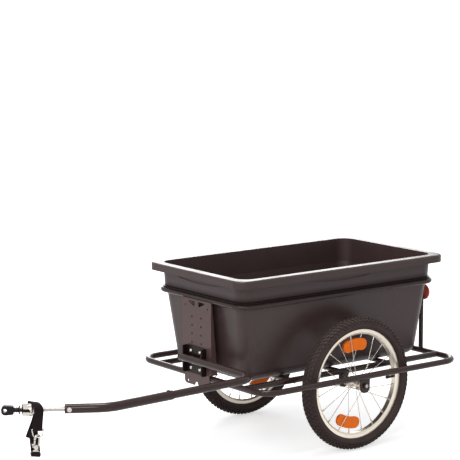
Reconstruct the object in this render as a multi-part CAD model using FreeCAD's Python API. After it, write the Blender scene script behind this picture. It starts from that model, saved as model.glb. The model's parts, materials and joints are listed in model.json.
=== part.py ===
import FreeCAD, Part
import math
import os
from FreeCAD import Placement, Rotation, Vector

# A two-wheeled shopping trailer for a bicycle: a tub that lifts out of a tube frame,
# spoked wheels in two bays beside it, and an offset drawbar with a swivelling tow eye.
# Sizes are in millimetres. +X points forward to the tow eye, +Y to the trailer's left, +Z up.
# The pieces are drawn with x = 0 at the axles, and moved to the middle of the length at the end.

middle_ahead_of_axle = 361.373

# Tub
tub_x = 4.0
rim_half_length = 391.0
rim_half_width = 231.0
rim_corner = 40.0
rim_top = 532.5
rim_thickness = 4.0
rim_round = 6.0
lip_depth = 22.0
lip_thickness = 3.2
band_top_half = (366.0, 208.0)
band_foot_half = (362.3, 204.3)
band_corner = 42.0
ledge_half = (367.5, 210.0)
ledge_corner = 46.0
ledge_under = 459.7
ledge_top = 464.0
wall_top_half = (357.5, 201.5)
wall_top_corner = 41.0
wall_foot_half = (331.5, 173.5)
wall_foot_corner = 38.0
tub_bottom = 226.2
tub_bottom_round = 27.0
tub_wall = 3.4
grip_half_length = 108.0
grip_height = 13.0
grip_z = 500.5
grip_depth = 2.0

# Frame tubes
loop_tube = 9.0
loop_front = 368.0
loop_rear = -374.0
loop_side = 303.7
loop_corner = 56.0
loop_z = 222.8
rail_side = 209.0
rail_tube = 8.9
cope_gap = 0.02
ring_tube = 7.0
ring_half_length = 367.2
ring_half_width = 210.5
ring_corner = 46.0
ring_z = 452.5
cross_tube = 7.0
cross_z = 218.8
cross_places = (185.0, 0.0, -185.0)
tube_wall = 1.5
post_tube = 7.0
post_above_ring = 4.0
post_x = -375.0
post_side = 134.6
vent_hole = 3.0
rail_pin_x = 88.0
rail_pin = 3.0

# Front plate and the bracket that carries the drawbar
plate_back = 377.0
plate_thickness = 3.0
plate_half_width = 70.5
tab_half_width = 60.5
tab_top = 236.0
plate_foot = 195.0
plate_top = 449.0
plate_corner = 12.0
plate_hole = 3.25
grid_side = 22.0
grid_pitch = 25.0
grid_top = 396.8
grid_rows = 7
bracket_rows = (4, 6)
bracket_half_width = 47.0
bracket_thickness = 4.0
bracket_foot = 231.0
bracket_top = 311.0
bracket_front = 398.0

# Drawbar. Its own frame starts on the axis of the cross leg, and tips down by a degree
drawbar_x = 397.5
drawbar_z = 274.5
drawbar_tip_down = 0.95
leg_end = -54.0
leg_side = 298.0
rear_tube = 11.0
rear_bend = 50.0
front_tube = 13.0
front_bore = 11.05
front_start = 281.0
overlap = 120.0
knee_at = 483.0
knee_turn = 35.0
knee_bend = 110.0
hitch_from_knee = 8.0

# Hitch stations, measured along the last leg of the drawbar, from just beyond the knee
front_tube_end = 106.0
cross_bolt_at = 95.0
shaft_radius = 6.5
shaft_start = 52.0
shaft_end = 195.0
housing_start = 187.5
pivot_at = 207.0
housing_radius = 17.25
cheek_round = 12.5
slot_height = 8.4
tongue_height = 8.0
tongue_round = 9.0
pivot_pin = 4.0
flange_at = 224.2
flange_radius = 12.0
neck_radius = 6.0
eye_start = 240.5
eye_tip = 273.4
eye_height = 27.0
eye_thickness = 16.0
eye_hole = 5.0
eye_hole_from_tip = 10.5

# Safety strap. Each row is the strap's centre on the way from the ring, over the coupling and down
# behind it, with the tilt of its width in degrees
strap_width = 25.0
strap_thickness = 2.2
strap_way = (
    (179.4, 12.5, -50.0, 0), (177.8, 13.4, -32.0, 0), (175.4, 15.0, -12.0, 2), (174.4, 15.6, 0.0, 4),
    (175.2, 13.6, 7.0, 6), (177.6, 8.8, 12.2, 8), (182.4, 1.6, 17.0, 9), (188.4, -6.4, 18.6, 9),
    (192.2, -13.6, 17.0, 9), (192.8, -19.2, 9.8, 10), (187.0, -21.4, -1.0, 13),
    (180.6, -21.2, -14.0, 18), (183.4, -19.6, -32.0, 20), (191.0, -17.0, -52.0, 20),
    (200.0, -15.2, -75.6, 20), (201.2, -14.4, -78.8, 20), (201.8, -12.8, -80.4, 20),
    (201.4, -11.1, -79.0, 20), (200.2, -10.4, -75.8, 20), (196.0, -10.2, -64.0, 20),
)
tail_way = (
    (193.0, -7.6, -56.0, 12), (191.6, -7.7, -74.0, 8), (189.4, -6.5, -98.0, 5), (188.4, -4.3, -112.0, 3),
    (188.0, -2.5, -121.0, 3), (187.8, 0.0, -125.4, 3), (187.8, 3.4, -126.0, 3), (187.8, 5.6, -122.0, 3),
    (187.9, 5.6, -114.0, 3),
)
hook_foot = (187.7, 1.7, -121.0)
hook_head = (181.2, 8.8, -72.0)
hook_wire = 2.6
hook_loop = 7.5
hook_twist = 42.0

# Wheels
wheel_side = 263.0
tyre_radius = 196.0
tyre_width = 48.0
tyre_wall = 3.2
rim_lip_radius = 160.8
rim_half_section = 12.0
rim_bed_radius = 149.6
rim_inner_radius = 146.4
spoke_count = 20
spoke_radius = 1.0
spoke_circle = 15.0
flange_offset = 20.0
flange_half = 1.3
flange_rim = 18.0
spoke_stand = 4.0
spoke_turn = 72.0
nipple_radius = 2.1
nipple_length = 13.0
axle_radius = 5.0
running_gap = 0.05
reflector_circle = 116.0
reflector_spread = 13.0
reflector_end = 17.5
reflector_angles = {"left": (87.5, -74.5), "right": (42.0, -120.0)}

# Dropout plates and axle hardware
dropout_thickness = 4.0
dropout_half_width = 18.0
dropout_foot = 175.0
nut_height = 6.0


# General shapes


def rod(start, end, radius):
    axis = end - start
    return Part.makeCylinder(radius, axis.Length, start, axis)


def pipe(start, end, outer, inner):
    reach = (end - start).normalize() * 1.0
    return rod(start, end, outer).cut(rod(start - reach, end + reach, inner))


def hexagon(centre, axis, across_flats, height):
    """A hexagonal head or nut that grows from its centre point along an axis."""
    corner = across_flats / math.sqrt(3)
    turns = [math.radians(60 * k) for k in range(7)]
    points = [Vector(corner * math.cos(a), corner * math.sin(a), 0) for a in turns]
    solid = Part.Face(Part.makePolygon(points)).extrude(Vector(0, 0, height))
    solid.Placement = Placement(centre, Rotation(Vector(0, 0, 1), axis))
    return solid


def rounded_path(points, radii, closed=False):
    """Straight runs joined by tangent arcs, one arc radius for each corner."""
    count = len(points)
    corners = range(count) if closed else range(1, count - 1)
    edges = []
    last = None if closed else points[0]
    first = None
    for i in corners:
        here = points[i]
        back = (points[i - 1] - here).normalize()
        ahead = (points[(i + 1) % count] - here).normalize()
        half_turn = back.getAngle(ahead) / 2
        radius = radii[i]
        reach = radius / math.tan(half_turn)
        enter = here + back * reach
        leave = here + ahead * reach
        centre_way = (back + ahead).normalize()
        middle = here + centre_way * (radius / math.sin(half_turn) - radius)
        if last is not None:
            edges.append(Part.makeLine(last, enter))
        else:
            first = enter
        edges.append(Part.Arc(enter, middle, leave).toShape())
        last = leave
    edges.append(Part.makeLine(last, first if closed else points[-1]))
    return Part.Wire(edges)


def round_bar(path, radius):
    """A round section swept along a path of runs and tangent arcs."""
    start = path.Edges[0]
    at = start.valueAt(start.FirstParameter)
    way = start.tangentAt(start.FirstParameter)
    disc = Part.Wire(Part.makeCircle(radius, at, way))
    return path.makePipeShell([disc], True, False)


def rounded_rectangle(half_length, half_width, corner, z, centre_x=tub_x):
    corners = [Vector(centre_x + half_length, half_width, z), Vector(centre_x - half_length, half_width, z),
               Vector(centre_x - half_length, -half_width, z), Vector(centre_x + half_length, -half_width, z)]
    return rounded_path(corners, [corner] * 4, closed=True)


def flat_piece(points, radii, way):
    """An outline with rounded corners, extruded along a direction."""
    return Part.Face(rounded_path(points, radii, closed=True)).extrude(way)


def ring_of(profile, centre, axis):
    """A closed profile revolved a full turn. It is drawn in X (along the axis) and Y (radius)."""
    solid = Part.Face(Part.Wire(profile)).revolve(Vector(0, 0, 0), Vector(1, 0, 0), 360)
    solid.Placement = Placement(centre, Rotation(Vector(1, 0, 0), axis))
    return solid


def turned(stations, centre, axis):
    """A turned piece from (distance along the axis, radius) stations, round a straight line."""
    points = [Vector(along, radius, 0) for along, radius in stations]
    edges = [Part.makeLine(a, b) for a, b in zip(points, points[1:] + points[:1]) if a != b]
    return ring_of(edges, centre, axis)


def strip(way, width, thickness):
    """A flat strip through (x, y, z, tilt) rows, whose width lies along X with a tilt about Y."""
    middles = [Vector(*row[:3]) for row in way]
    sections = []
    for i, row in enumerate(way):
        tilt = math.radians(row[3])
        across = Vector(math.cos(tilt), 0, math.sin(tilt)) * (width / 2)
        ahead = middles[min(i + 1, len(way) - 1)] - middles[max(i - 1, 0)]
        out = across.cross(ahead).normalize() * (thickness / 2)
        corners = [middles[i] + across + out, middles[i] - across + out, middles[i] - across - out,
                   middles[i] + across - out]
        sections.append(Part.makePolygon(corners + corners[:1]))
    return Part.makeLoft(sections, True, True)


def one_solid(shape):
    return shape.Solids[0] if len(shape.Solids) == 1 else shape


def fused(shapes):
    return one_solid(shapes[0].multiFuse(shapes[1:]).removeSplitter())


def fused_group(shapes):
    return Part.makeCompound(shapes)


# Tub


def wall_size(z, inset=0.0):
    """Half length, half width and corner radius of the lower wall at a height."""
    share = (z - tub_bottom) / (ledge_under - tub_bottom)
    length = wall_foot_half[0] + share * (wall_top_half[0] - wall_foot_half[0])
    width = wall_foot_half[1] + share * (wall_top_half[1] - wall_foot_half[1])
    corner = wall_foot_corner + share * (wall_top_corner - wall_foot_corner)
    return length - inset, width - inset, corner - inset


def lower_wall(inset, floor, top):
    """The tapering lower part of the tub, with its rounded bottom edge."""
    sections = []
    round_radius = tub_bottom_round - inset
    steps = 5
    for k in range(steps + 1):
        angle = math.pi / 2 * k / steps
        z = floor + round_radius * (1 - math.cos(angle))
        pull = round_radius * (1 - math.sin(angle))
        sections.append(rounded_rectangle(*[v - pull for v in wall_size(z, inset)], z))
    sections.append(rounded_rectangle(*wall_size(top, inset), top))
    return Part.makeLoft(sections, True, True)


def loft_between(low, low_z, high, high_z, corner_low, corner_high):
    low_wire = rounded_rectangle(low[0], low[1], corner_low, low_z)
    high_wire = rounded_rectangle(high[0], high[1], corner_high, high_z)
    return Part.makeLoft([low_wire, high_wire], True, True)


def rounded_rim(half):
    """The rim's block, with its outer top edge rounded."""
    block = loft_between(half, rim_top - lip_depth, half, rim_top, rim_corner, rim_corner)
    top_edges = [edge for edge in block.Edges if edge.BoundBox.ZMin > rim_top - 0.1]
    return block.makeFillet(rim_round, top_edges)


def band_block(inset=0.0):
    """The band between the ledge and the rim, as a solid block."""
    low = [value - inset for value in band_foot_half]
    high = [value - inset for value in band_top_half]
    corner = band_corner - inset
    return loft_between(low, ledge_top - 1.0, high, rim_top, corner, corner)


def make_tub():
    rim_under = rim_top - rim_thickness
    rim = (rim_half_length, rim_half_width)
    outside = fused([
        lower_wall(0.0, tub_bottom, ledge_under + 1.0),
        loft_between(ledge_half, ledge_under, ledge_half, ledge_top, ledge_corner, ledge_corner),
        band_block(),
        rounded_rim(rim),
    ])
    lip_inner = (rim_half_length - lip_thickness, rim_half_width - lip_thickness)
    lip_corner = rim_corner - lip_thickness
    lip_foot = rim_top - lip_depth - 1.0
    under_rim = loft_between(lip_inner, lip_foot, lip_inner, rim_under, lip_corner, lip_corner)
    outside = outside.cut(under_rim.cut(band_block()))
    band_low_in = [v - tub_wall for v in band_foot_half]
    band_high_in = [v - tub_wall for v in band_top_half]
    inner_corner = band_corner - tub_wall
    inside = fused([
        lower_wall(tub_wall, tub_bottom + tub_wall, ledge_under + 2.0),
        loft_between(band_low_in, ledge_under + 2.0, band_high_in, rim_top + 0.5, inner_corner, inner_corner),
    ])
    tub = outside.cut(inside)
    for hollow in grip_hollows():
        tub = tub.cut(hollow)
    return one_solid(tub)


def grip_hollows():
    """Shallow lens-shaped finger grips, one under the rim on each wall."""
    reach = grip_half_length
    shift = (reach ** 2 - (grip_height / 2) ** 2) / grip_height
    radius = shift + grip_height / 2
    upper = Part.makeCylinder(radius, 20, Vector(0, 0, grip_z - shift), Vector(1, 0, 0))
    lower = Part.makeCylinder(radius, 20, Vector(0, 0, grip_z + shift), Vector(1, 0, 0))
    lens = upper.common(lower)
    slope = (band_top_half[0] - band_foot_half[0]) / (rim_top - ledge_top)
    hollows = []
    for turn in (0, 90, 180, 270):
        half = band_foot_half[0] if turn % 180 == 0 else band_foot_half[1]
        face = half + slope * (grip_z - ledge_top) - grip_depth
        hollow = lens.copy()
        hollow.translate(Vector(face, 0, 0))
        hollow.rotate(Vector(0, 0, 0), Vector(0, 0, 1), turn)
        hollow.translate(Vector(tub_x, 0, 0))
        hollows.append(hollow)
    return hollows


# Frame


def loop_wire(front, rear, side, corner, z):
    corners = [Vector(front, side, z), Vector(rear, side, z), Vector(rear, -side, z), Vector(front, -side, z)]
    return rounded_path(corners, [corner] * 4, closed=True)


def loop_bar(radius=loop_tube):
    """The lower loop as a round bar."""
    return round_bar(loop_wire(loop_front, loop_rear, loop_side, loop_corner, loop_z), radius)


def ring_bar(radius=ring_tube):
    """The upper ring as a round bar."""
    front = tub_x + ring_half_length
    rear = tub_x - ring_half_length
    return round_bar(loop_wire(front, rear, ring_half_width, ring_corner, ring_z), radius)


def make_lower_loop():
    """A bent tube with a vent hole under its rear end and a drilled seat for each rail pin."""
    loop = loop_bar().cut(loop_bar(loop_tube - tube_wall))
    loop = loop.cut(rod(Vector(loop_rear, 0, loop_z - 20), Vector(loop_rear, 0, loop_z), vent_hole))
    for side in (-1, 1):
        loop = loop.cut(rail_pin_hole(side))
    return one_solid(loop)


def make_upper_ring():
    rear = tub_x - ring_half_length
    ring = ring_bar().cut(ring_bar(ring_tube - tube_wall))
    return one_solid(ring.cut(rod(Vector(rear, 0, ring_z - 20), Vector(rear, 0, ring_z), vent_hole)))


def rail_pin_hole(side):
    y = side * loop_side
    return rod(Vector(rail_pin_x, y, loop_z - 20), Vector(rail_pin_x, y, loop_z + 20), rail_pin)


def make_rail_pin(side):
    """An upright pin through the loop's side tube, with a black cap on each end."""
    y = side * loop_side
    centre = Vector(rail_pin_x, y, loop_z)
    reach = loop_tube + 2.6
    neck = loop_tube - 1.2
    stations = [(-reach, 0), (-reach, 3.4), (1 - reach, 4.6), (-neck, 4.6), (-neck, rail_pin),
                (neck, rail_pin), (neck, 4.6), (reach - 1, 4.6), (reach, 3.4), (reach, 0)]
    pin = turned(stations, centre, Vector(0, 0, 1))
    rail = rod(Vector(0, y, loop_z), Vector(200, y, loop_z), loop_tube).cut(rail_pin_hole(side))
    return one_solid(pin.cut(rail))


def make_inner_rail(side):
    """A straight rail between the loop's ends, coped to both."""
    y = side * rail_side
    rail = rod(Vector(loop_rear, y, loop_z), Vector(loop_front, y, loop_z), rail_tube)
    for x in (loop_rear, loop_front):
        rail = rail.cut(rod(Vector(x, y - 30, loop_z), Vector(x, y + 30, loop_z), loop_tube + cope_gap))
    bore_ends = [Vector(x, y, loop_z) for x in (loop_rear - 1, loop_front + 1)]
    return one_solid(rail.cut(rod(*bore_ends, rail_tube - tube_wall)))


def make_cross_tube(x, blockers):
    start = Vector(x, -rail_side, cross_z)
    end = Vector(x, rail_side, cross_z)
    bar = pipe(start, end, cross_tube, cross_tube - tube_wall)
    for blocker in blockers:
        bar = bar.cut(blocker)
    return max(bar.Solids, key=lambda piece: piece.Volume)


def make_rear_post(side, loop, ring):
    """An upright from the loop's rear tube to the ring."""
    start = Vector(post_x, side * post_side, loop_z)
    end = Vector(post_x, side * post_side, ring_z + post_above_ring)
    post = rod(start, end, post_tube).cut(loop).cut(ring)
    return one_solid(post)


def axle_hole(y, radius):
    return rod(Vector(0, y - 20, tyre_radius), Vector(0, y + 20, tyre_radius), radius)


def make_dropout(side, y, rail):
    """A tab that hangs from a rail, rounded at its foot, with the axle hole."""
    low = side * y - dropout_thickness / 2
    half = dropout_half_width
    outline = [Vector(-half, low, loop_z), Vector(half, low, loop_z), Vector(half - 1, low, dropout_foot),
               Vector(1 - half, low, dropout_foot)]
    plate = flat_piece(outline, [3, 3, 14, 14], Vector(0, dropout_thickness, 0))
    plate = plate.cut(rail).cut(axle_hole(side * y, axle_radius + running_gap))
    return max(plate.Solids, key=lambda piece: piece.Volume)


def grid_height(row):
    return grid_top - row * grid_pitch


def plate_drill(y, z, radius):
    return rod(Vector(plate_back - 30, y, z), Vector(plate_back + 30, y, z), radius)


def make_front_plate(loop, ring):
    """The upright plate that ties the ring to the loop, with a grid of bolt holes."""
    tab = tab_half_width
    half = plate_half_width
    right_edge = [(-half, plate_top), (-half, tab_top), (-tab, tab_top), (-tab, plate_foot)]
    left_edge = [(-y, z) for y, z in reversed(right_edge)]
    outline = [Vector(plate_back, y, z) for y, z in right_edge + left_edge]
    corners = [1.5, 4.0, 4.0, plate_corner, plate_corner, 4.0, 4.0, 1.5]
    plate = flat_piece(outline, corners, Vector(plate_thickness, 0, 0))
    parts = [plate] + [side_flange(side) for side in (-1, 1)]
    plate = fused(parts)
    for row in range(grid_rows):
        for y in (-grid_side, grid_side):
            plate = plate.cut(plate_drill(y, grid_height(row), plate_hole))
    for side in (-1, 1):
        plate = plate.cut(plate_drill(side * 54, 428, 2.6))
        plate = plate.cut(plate_drill(side * 44, 204, 4.0))
        window = [Vector(plate_back - 5, side * 9, 443), Vector(plate_back - 5, side * 9, 426.5),
                  Vector(plate_back - 5, side * 47, 443)]
        plate = plate.cut(flat_piece(window, [1.5, 2.5, 2.5], Vector(20, 0, 0)))
    plate = plate.cut(plate_drill(0, plate_foot - 1, 12.0))
    return one_solid(plate.cut(loop).cut(ring))


def side_flange(side):
    """The plate's folded edge, which widens downwards as the tub's wall leans away."""
    y = side * plate_half_width - (plate_thickness if side > 0 else 0)
    foot = loop_z + loop_tube + 4
    outline = [Vector(plate_back + 1, y, 440), Vector(plate_back + 1, y, foot),
               Vector(plate_back - 19, y, foot), Vector(plate_back - 2, y, 440)]
    wire = Part.makePolygon(outline + outline[:1])
    return Part.Face(wire).extrude(Vector(0, plate_thickness, 0))


def make_rear_reflector(side):
    """A round red reflector on the back of a rear post."""
    centre = Vector(post_x - post_tube - 1.0, side * post_side, 404.0)
    dome = [(0, 0), (0, 24), (3, 24), (5.5, 22.5), (7.5, 18), (8.5, 10), (9, 0)]
    return turned(dome, centre, Vector(-1, 0, 0))


def make_reflector_screw(side, post):
    y = side * post_side
    front = Vector(post_x + post_tube + 0.6, y, 404.0)
    back = Vector(post_x - post_tube - 1.0, y, 404.0)
    collar = rod(Vector(back.x + 3, y, 404.0), back, 6.0).cut(post)
    screw = rod(front, back, 2.0)
    return one_solid(screw.fuse(collar.Solids[0]))


# Drawbar


def drawbar_frame():
    """The drawbar's own frame: X forward, Y left, origin on the axis of the cross leg."""
    return Placement(Vector(drawbar_x, 0, drawbar_z), Rotation(Vector(0, 1, 0), drawbar_tip_down))


def last_leg():
    """The hitch's place on the drawbar: X along the last leg, Y to its left."""
    knee = Placement(Vector(knee_at, leg_side, 0), Rotation(Vector(0, 0, 1), -knee_turn))
    return knee.multiply(Placement(Vector(hitch_from_knee, 0, 0), Rotation()))


def hitch_frame():
    return drawbar_frame().multiply(last_leg())


def placed(shape, frame):
    moved = shape.copy()
    moved.Placement = frame.multiply(moved.Placement)
    return moved


def make_rear_tube():
    """The cross leg, its bend and the run that slides into the front tube."""
    end = front_start + overlap
    points = [Vector(0, leg_end, 0), Vector(0, leg_side, 0), Vector(end, leg_side, 0)]
    path = rounded_path(points, [0, rear_bend, 0])
    solid = round_bar(path, rear_tube).cut(round_bar(path, rear_tube - tube_wall))
    return solid.cut(length_screw_hole())


def make_front_tube():
    """The wider tube with the knee, open at both ends."""
    end = last_leg().multVec(Vector(front_tube_end, 0, 0))
    points = [Vector(front_start, leg_side, 0), Vector(knee_at, leg_side, 0), end]
    path = rounded_path(points, [0, knee_bend, 0])
    solid = round_bar(path, front_tube).cut(round_bar(path, front_bore))
    return solid.cut(length_screw_hole()).cut(placed_in_drawbar(cross_bolt_hole()))


def placed_in_drawbar(shape):
    """Moves a shape from the hitch frame to the drawbar's frame."""
    return placed(shape, last_leg())


def length_screw_hole():
    x = front_start + 12
    return rod(Vector(x, leg_side, 0), Vector(x, leg_side, 20), 3.0)


def make_length_screw():
    """The low screw that locks the two tubes at one length, from above."""
    x = front_start + 12
    cushion = front_tube - 0.4
    screw = rod(Vector(x, leg_side, 3.5), Vector(x, leg_side, cushion), 3.0)
    head = Part.makeCone(5.2, 4.0, 2.2, Vector(x, leg_side, cushion), Vector(0, 0, 1))
    tube = rod(Vector(0, leg_side, 0), Vector(knee_at, leg_side, 0), front_tube)
    return one_solid(fused([screw, head]).cut(tube.cut(length_screw_hole())))


def make_length_nut():
    """The screw's nut, held under the crown of the inner tube."""
    x = front_start + 12
    nut = hexagon(Vector(x, leg_side, rear_tube), Vector(0, 0, -1), 10.0, 6.5)
    bore = rod(Vector(0, leg_side, 0), Vector(knee_at, leg_side, 0), rear_tube - tube_wall)
    return one_solid(nut.common(bore).cut(length_screw_hole()))


def make_leg_plug():
    """The cap in the open end of the cross leg."""
    cap = rod(Vector(0, leg_end - 3, 0), Vector(0, leg_end, 0), rear_tube)
    stem = rod(Vector(0, leg_end, 0), Vector(0, leg_end + 14, 0), rear_tube - tube_wall)
    return fused([cap, stem])


def make_bracket(drawbar_axis):
    """A folded bracket on the plate, whose two ears hold the cross leg in half-round notches."""
    front_of_plate = plate_back + plate_thickness
    half = bracket_half_width
    web = [Vector(front_of_plate, -half, bracket_foot), Vector(front_of_plate, half, bracket_foot),
           Vector(front_of_plate, half, bracket_top), Vector(front_of_plate, -half, bracket_top)]
    parts = [flat_piece(web, [1, 1, 1, 1], Vector(bracket_thickness, 0, 0))]
    for y in (-half, half - bracket_thickness):
        ear = [Vector(front_of_plate, y, bracket_foot), Vector(bracket_front, y, bracket_foot),
               Vector(bracket_front, y, bracket_top), Vector(front_of_plate, y, bracket_top)]
        parts.append(flat_piece(ear, [1, 5, 5, 1], Vector(0, bracket_thickness, 0)))
    bracket = fused(parts).cut(drawbar_axis)
    for y, z in bracket_bolts():
        bracket = bracket.cut(plate_drill(y, z, plate_hole))
    return one_solid(bracket)


def bracket_bolts():
    return [(y, grid_height(row)) for y in (-grid_side, grid_side) for row in bracket_rows]


def make_bracket_bolt(y, z):
    """A bolt with a domed head in front and a thread that reaches the nut behind the plate."""
    face = plate_back + plate_thickness + bracket_thickness
    shank = rod(Vector(plate_back - 8.5, y, z), Vector(face, y, z), plate_hole - 0.25)
    head = turned([(0, 0), (0, 5.6), (2.2, 5.2), (4.0, 3.4), (4.8, 0)], Vector(face, y, z), Vector(1, 0, 0))
    return fused([shank, head])


def make_bracket_nut(y, z):
    nut = hexagon(Vector(plate_back, y, z), Vector(-1, 0, 0), 10.0, 5.0)
    return one_solid(nut.cut(plate_drill(y, z, plate_hole - 0.25)))


# Hitch, drawn along X in the hitch frame


def along(x, y=0.0, z=0.0):
    return Vector(x, y, z)


def cross_bolt_hole():
    return rod(along(cross_bolt_at, -30), along(cross_bolt_at, 30), 3.0)


def make_end_bush():
    """The plug that centres the shaft in the end of the front tube."""
    lip = front_tube_end + 1.6
    stations = [(62, 0), (62, front_bore), (front_tube_end, front_bore), (front_tube_end, front_tube),
                (lip, front_tube - 0.4), (lip, 0)]
    bush = turned(stations, along(0), Vector(1, 0, 0))
    return one_solid(bush.cut(rod(along(60), along(120), shaft_radius)).cut(cross_bolt_hole()))


def make_hitch_shaft():
    """The plain round shaft that carries the coupling, drilled for the cross bolt."""
    shaft = turned([(shaft_start, 0), (shaft_start, shaft_radius), (shaft_end - 4.6, shaft_radius),
                    (shaft_end - 4.6, shaft_radius - 1), (shaft_end - 2.6, shaft_radius - 1),
                    (shaft_end - 2.6, shaft_radius), (shaft_end - 0.6, shaft_radius),
                    (shaft_end, shaft_radius - 0.6), (shaft_end, 0)], along(0), Vector(1, 0, 0))
    return one_solid(shaft.cut(cross_bolt_hole()))


def make_shaft_clip():
    """The ring that snaps into the shaft's groove and keeps the housing on."""
    ring = turned([(shaft_end - 4.5, shaft_radius - 0.95), (shaft_end - 4.5, 8.6), (shaft_end - 2.7, 8.6),
                   (shaft_end - 2.7, shaft_radius - 0.95)], along(0), Vector(1, 0, 0))
    gap = Part.makeBox(4, 5, 12, along(shaft_end - 6, -2.5, 0))
    return one_solid(ring.cut(gap))


def make_cross_bolt():
    """The bolt through tube, bush and shaft, with a wide slotted head on the outside."""
    seat = front_tube - 0.6
    shank = rod(along(cross_bolt_at, -front_tube - 4.5), along(cross_bolt_at, front_tube - 0.4), 3.0)
    dome = [(0, 0), (0, 6.5), (1.6, 6.5), (3.0, 5.2), (3.0, 0)]
    head = turned(dome, along(cross_bolt_at, seat), Vector(0, 1, 0))
    slot = Part.makeBox(14, 1.6, 1.6, along(cross_bolt_at - 7, seat + 1.8, -0.8))
    tube = rod(along(60), along(120), front_tube)
    bolt = fused([shank, head.cut(slot)])
    return one_solid(bolt.cut(tube.cut(cross_bolt_hole())))


def make_cross_nut():
    nut = hexagon(along(cross_bolt_at, 0.8 - front_tube), Vector(0, -1, 0), 10.0, 5.0)
    tube = rod(along(60), along(120), front_tube)
    return one_solid(nut.cut(tube).cut(cross_bolt_hole()))


def make_housing():
    """The coupling housing: a turned body on the shaft, slotted in front into two round cheeks."""
    front = pivot_at + cheek_round
    body = turned([(housing_start, 0), (housing_start, 11.0), (housing_start + 1.5, 12.5),
                   (housing_start + 6, housing_radius - 1.0), (housing_start + 7, housing_radius),
                   (housing_start + 13, housing_radius), (housing_start + 14, housing_radius - 1.2),
                   (housing_start + 16, housing_radius - 1.2), (housing_start + 17, housing_radius),
                   (front - 1.5, housing_radius - 1.0), (front, housing_radius - 3.0), (front, 0)],
                  along(0), Vector(1, 0, 0))
    shoulder = pivot_at - 7
    cheeks = rod(along(pivot_at, 0, -20), along(pivot_at, 0, 20), cheek_round + 0.4)
    bridge = Part.makeBox(9, 2 * cheek_round, 40, along(shoulder - 1, -cheek_round, -20))
    rear = Part.makeBox(shoulder - housing_start + 1, 40, 40, along(housing_start - 1, -20, -20))
    body = body.common(fused([cheeks, bridge, rear]))
    slot_back = pivot_at - tongue_round - 2.0
    slot = Part.makeBox(40, 60, slot_height, along(slot_back, -30, -slot_height / 2))
    bore = rod(along(housing_start - 1), along(slot_back + 1), shaft_radius + running_gap)
    pocket = rod(along(shaft_end - 5.2), along(slot_back + 1), 9.6)
    pin = rod(along(pivot_at, 0, -30), along(pivot_at, 0, 30), pivot_pin)
    for hollow in (slot, bore, pocket, pin):
        body = body.cut(hollow)
    return one_solid(body)


def make_pivot_pin():
    """The upright pin on which the tow eye turns, its ends just below the cheeks' faces."""
    reach = housing_radius - 0.7
    stations = [(-reach, 0), (-reach, pivot_pin - 0.6), (0.6 - reach, pivot_pin), (reach - 0.6, pivot_pin),
                (reach, pivot_pin - 0.6), (reach, 0)]
    return turned(stations, along(pivot_at), Vector(0, 0, 1))


def make_tow_eye():
    """The moulded eye: a flat head with a cross hole, a ribbed neck, a flange and a pivot tongue."""
    half = eye_height / 2
    head = [along(eye_start, -eye_thickness / 2, -half + 2), along(eye_tip, -eye_thickness / 2, -half),
            along(eye_tip, -eye_thickness / 2, half), along(eye_start, -eye_thickness / 2, half - 2)]
    head = flat_piece(head, [5, 11, 11, 5], Vector(0, eye_thickness, 0))
    head = head.makeFillet(2.0, [edge for edge in head.Edges if on_flat_side(edge)])
    neck = [(pivot_at + tongue_round, 0), (flange_at, 0), (flange_at, flange_radius),
            (flange_at + 2.4, flange_radius), (flange_at + 2.4, neck_radius)]
    ribs = 3
    rib_pitch = (eye_start - flange_at - 2.4) / ribs
    for k in range(ribs):
        rib = flange_at + 2.4 + rib_pitch * (k + 0.5)
        neck += [(rib - 1.4, neck_radius), (rib - 1.0, neck_radius + 1), (rib + 1.0, neck_radius + 1),
                 (rib + 1.4, neck_radius)]
    neck += [(eye_start + 6, neck_radius), (eye_start + 6, 0)]
    neck = turned(neck[1:], along(0), Vector(1, 0, 0))
    boss = rod(along(pivot_at, 0, -tongue_height / 2), along(pivot_at, 0, tongue_height / 2), tongue_round)
    bar = Part.makeBox(flange_at - pivot_at + 1, 13, tongue_height, along(pivot_at, -6.5, -tongue_height / 2))
    eye = fused([head, neck, boss, bar])
    hole_at = eye_tip - eye_hole_from_tip
    eye = eye.cut(rod(along(hole_at, -20), along(hole_at, 20), eye_hole))
    eye = eye.cut(rod(along(pivot_at, 0, -9), along(pivot_at, 0, 9), pivot_pin + running_gap))
    return one_solid(eye)


def on_flat_side(edge):
    box = edge.BoundBox
    return box.YLength < 0.01


# Safety strap and its snap hook, drawn in the hitch frame


def make_strap():
    """Webbing from the ring, loosely over the coupling, and down to the hook's eye."""
    fold_x = 179.6
    front_fold = [(fold_x, 6.7, -36.0, 0), (fold_x, 6.7, -51.0, 0), (fold_x, 7.5, -53.8, 0),
                  (fold_x, 9.6, -55.0, 0), (fold_x, 11.7, -53.8, 0), (fold_x, 12.5, -51.0, 0),
                  (fold_x - 0.2, 12.5, -47.0, 0)]
    strap = strip(strap_way, strap_width, strap_thickness)
    for way in (front_fold, tail_way):
        strap = strap.fuse(strip(way, strap_width, strap_thickness))
    seam = Part.makeBox(20, 6.2, 10, Vector(169.6, 6.4, -46.0))
    join = Part.makeBox(12, 4.0, 7, Vector(188.0, -11.0, -68.0))
    return one_solid(strap.fuse(seam).fuse(join))


def make_strap_ring():
    """The wire ring in the strap's fold that the snap hook clips to."""
    middle = 179.6
    fold = (9.6, -51.0)
    foot = (8.8, hook_head[2] - 0.5)
    points = [along(middle - 15.2, *fold), along(middle + 15.2, *fold), along(middle + 11.6, *foot),
              along(middle - 11.6, *foot)]
    return round_bar(rounded_path(points, [1.7, 1.7, 9, 9], closed=True), 1.6)


def stem_frame():
    """Z along the swivel's stem, from the strap's lower fold up to the ring."""
    foot = Vector(*hook_foot)
    return Placement(foot, Rotation(Vector(0, 0, 1), Vector(*hook_head) - foot))


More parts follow.
